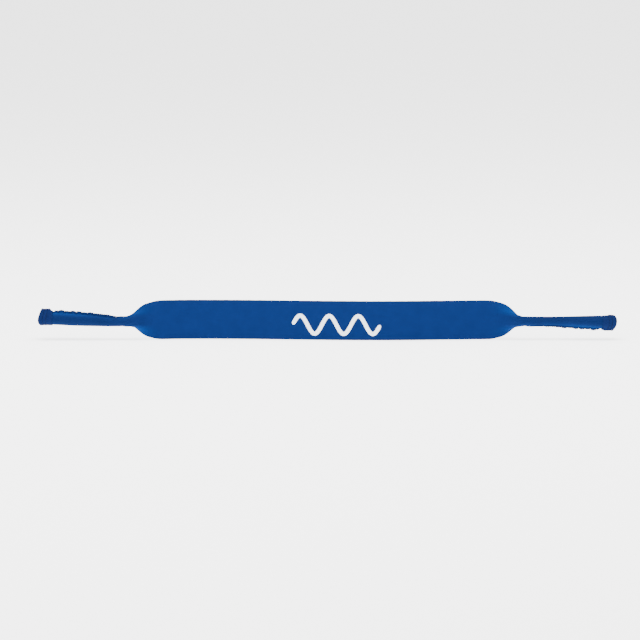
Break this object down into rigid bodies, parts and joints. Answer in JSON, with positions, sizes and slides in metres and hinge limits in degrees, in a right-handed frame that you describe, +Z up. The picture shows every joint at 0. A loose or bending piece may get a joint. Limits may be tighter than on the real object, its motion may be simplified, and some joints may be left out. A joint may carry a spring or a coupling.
{
  "type": "eyewear retainer strap",
  "caption": "Soft neoprene eyewear retainer: a wide printed neck band that narrows at each end into a sewn sleeve for a temple tip.",
  "frame": {"origin": "middle of the strap's length and depth, on the surface that its long lower edge stands on", "axes": "+X along the strap to the wearer's end drawn on the right, +Y away from the printed face, +Z up across the band"},
  "size_m": [0.4064, 0.012, 0.0276],
  "materials": {
    "face_jersey": "fine nylon jersey knit",
    "foam_rubber": "cut closed-cell foam",
    "lining_jersey": "fine nylon jersey knit",
    "binding_tape": "ribbed woven tape",
    "sewing_thread": "textured polyester thread",
    "ink": "matte screen print"
  },
  "bodies": {
    "band_centre": {"band_centre_face_jersey": "face_jersey", "band_centre_foam_core": "foam_rubber", "band_centre_lining_jersey": "lining_jersey", "printed_mark": "ink"},
    "left_band": {"left_band_face_jersey": "face_jersey", "left_band_foam_core": "foam_rubber", "left_band_lining_jersey": "lining_jersey"},
    "left_shoulder": {"left_shoulder_face_jersey": "face_jersey", "left_shoulder_foam_core": "foam_rubber", "left_shoulder_lining_jersey": "lining_jersey"},
    "left_sleeve": {"left_sleeve_face_jersey": "face_jersey", "left_sleeve_foam_core": "foam_rubber", "left_sleeve_lining_jersey": "lining_jersey", "left_seam_needle_thread": "sewing_thread", "left_seam_upper_looper": "sewing_thread", "left_seam_lower_looper": "sewing_thread", "left_mouth_binding": "binding_tape", "left_binding_stitch_row_1": "sewing_thread", "left_binding_stitch_row_2": "sewing_thread"},
    "right_band": {"right_band_face_jersey": "face_jersey", "right_band_foam_core": "foam_rubber", "right_band_lining_jersey": "lining_jersey"},
    "right_shoulder": {"right_shoulder_face_jersey": "face_jersey", "right_shoulder_foam_core": "foam_rubber", "right_shoulder_lining_jersey": "lining_jersey"},
    "right_sleeve": {"right_sleeve_face_jersey": "face_jersey", "right_sleeve_foam_core": "foam_rubber", "right_sleeve_lining_jersey": "lining_jersey", "right_seam_needle_thread": "sewing_thread", "right_seam_upper_looper": "sewing_thread", "right_seam_lower_looper": "sewing_thread", "right_mouth_binding": "binding_tape", "right_binding_stitch_row_1": "sewing_thread", "right_binding_stitch_row_2": "sewing_thread"}
  },
  "joints": [
    {"name": "left_inner_flex", "type": "hinge", "parent": "band_centre", "child": "left_band", "pos_m": [-0.046, 0.0018, 0.0135], "axis": [0, 0, -1], "range_deg": [-35, 35], "stiffness_Nm_per_rad": 0.002},
    {"name": "left_outer_flex", "type": "hinge", "parent": "left_band", "child": "left_shoulder", "pos_m": [-0.092, 0.00356, 0.0135], "axis": [0, 0, -1], "range_deg": [-35, 35], "stiffness_Nm_per_rad": 0.002},
    {"name": "left_neck_flex", "type": "hinge", "parent": "left_shoulder", "child": "left_sleeve", "pos_m": [-0.146, 0, 0.0125], "axis": [0, 0, -1], "range_deg": [-60, 60], "stiffness_Nm_per_rad": 0.002},
    {"name": "right_inner_flex", "type": "hinge", "parent": "band_centre", "child": "right_band", "pos_m": [0.046, -0.00342, 0.0135], "axis": [0, 0, 1], "range_deg": [-35, 35], "stiffness_Nm_per_rad": 0.002},
    {"name": "right_outer_flex", "type": "hinge", "parent": "right_band", "child": "right_shoulder", "pos_m": [0.092, -0.00019, 0.0135], "axis": [0, 0, 1], "range_deg": [-35, 35], "stiffness_Nm_per_rad": 0.002},
    {"name": "right_neck_flex", "type": "hinge", "parent": "right_shoulder", "child": "right_sleeve", "pos_m": [0.142, 0, 0.0125], "axis": [0, 0, 1], "range_deg": [-60, 60], "stiffness_Nm_per_rad": 0.002}
  ]
}
